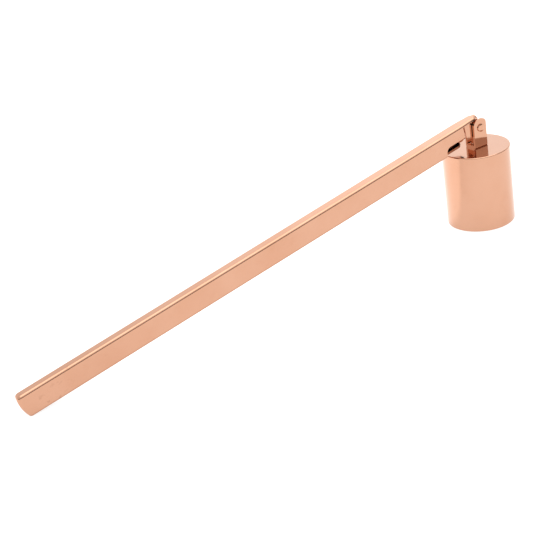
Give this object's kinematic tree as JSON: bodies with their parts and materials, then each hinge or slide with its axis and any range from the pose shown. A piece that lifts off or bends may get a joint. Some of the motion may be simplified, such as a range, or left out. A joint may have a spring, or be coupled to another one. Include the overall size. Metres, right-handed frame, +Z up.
{
  "type": "candle snuffer",
  "caption": "Hinged candle snuffer: a round flat-topped cup on a folded bracket, pivoted on a rivet at the end of a long tapering channel handle.",
  "frame": {"origin": "centre of the cup's mouth, on the surface that the snuffer stands on", "axes": "+Z up along the cup's axis from the mouth to the closed end; the handle runs from the pivot towards -X; +Y is along the hinge rivet, from its domed head to its peened end"},
  "size_m": [0.2204, 0.028, 0.0459],
  "materials": {
    "cup_metal": "mirror-polished steel with a rose-gold coating",
    "bracket_metal": "polished steel with a rose-gold coating",
    "rivet_metal": "polished steel with a rose-gold coating",
    "washer_metal": "plain rolled steel with a rose-gold coating",
    "handle_metal": "polished steel with a rose-gold coating, lightly worn at the tip"
  },
  "bodies": {
    "bell": {"cup": "cup_metal", "bracket": "bracket_metal", "bracket_rivet": "rivet_metal", "hinge_rivet": "rivet_metal", "front_washer": "washer_metal", "rear_washer": "washer_metal"},
    "handle": {"handle": "handle_metal"}
  },
  "joints": [
    {"name": "handle_hinge", "type": "hinge", "parent": "bell", "child": "handle", "pos_m": [0.0011, 0, 0.0407], "axis": [0, 1, 0], "range_deg": [-5, 140]}
  ]
}
